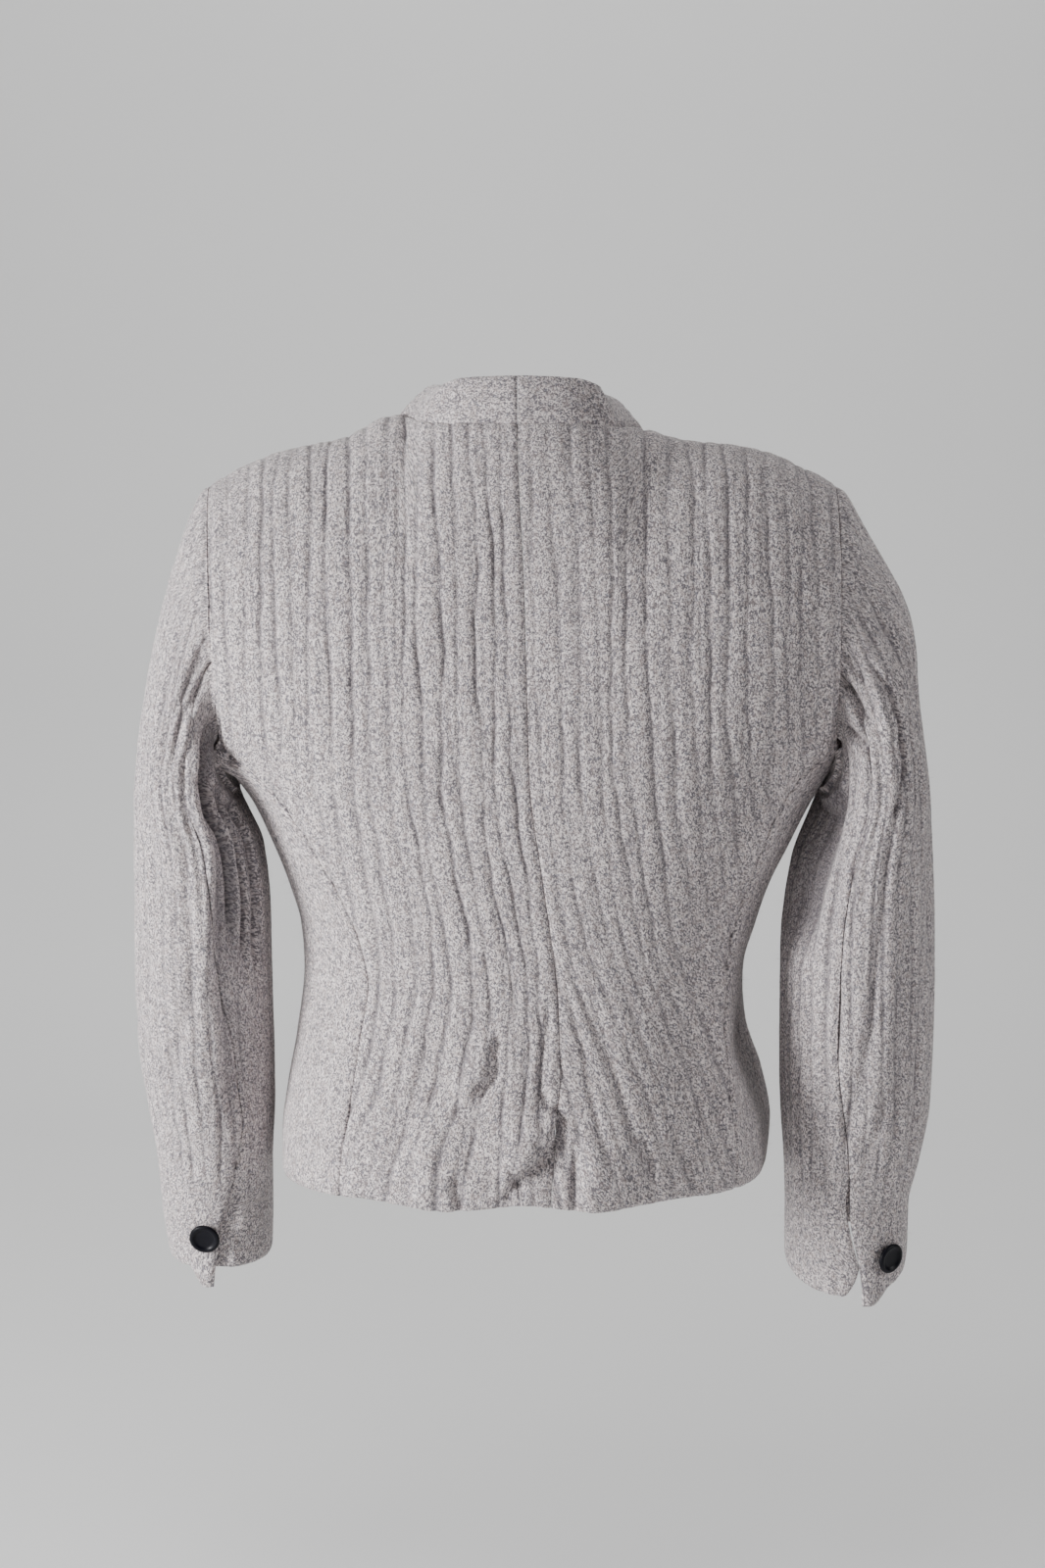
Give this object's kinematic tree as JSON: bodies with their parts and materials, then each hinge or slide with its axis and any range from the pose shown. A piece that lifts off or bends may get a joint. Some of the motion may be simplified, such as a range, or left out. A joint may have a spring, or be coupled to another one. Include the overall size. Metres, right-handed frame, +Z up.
{
  "type": "one-button blazer",
  "caption": "Short fitted wool blazer, worn shape: crinkled light-grey cloth, stand collar band into a V neck, long sleeves with buttoned cuff vents.",
  "frame": {"origin": "middle of the neck opening at the height of the shoulders' neck points, where the wearer's neck and shoulders carry the jacket", "axes": "+Z up along the wearer, +X to the wearer's left, the front faces -Y and the back +Y"},
  "size_m": [0.5129, 0.2458, 0.5957],
  "materials": {
    "wool": "matte, napped, crinkled light-grey melange",
    "button": "gloss, near-black navy"
  },
  "bodies": {
    "root": {"back_left": "wool", "back_right": "wool", "side_left": "wool", "side_right": "wool", "front_left": "wool", "front_right": "wool", "collar_left": "wool", "collar_right": "wool", "sleeve_top_left": "wool", "sleeve_top_right": "wool", "sleeve_under_left": "wool", "sleeve_under_right": "wool", "cuff_button_left": "button", "cuff_button_right": "button", "front_button": "button"}
  },
  "joints": []
}
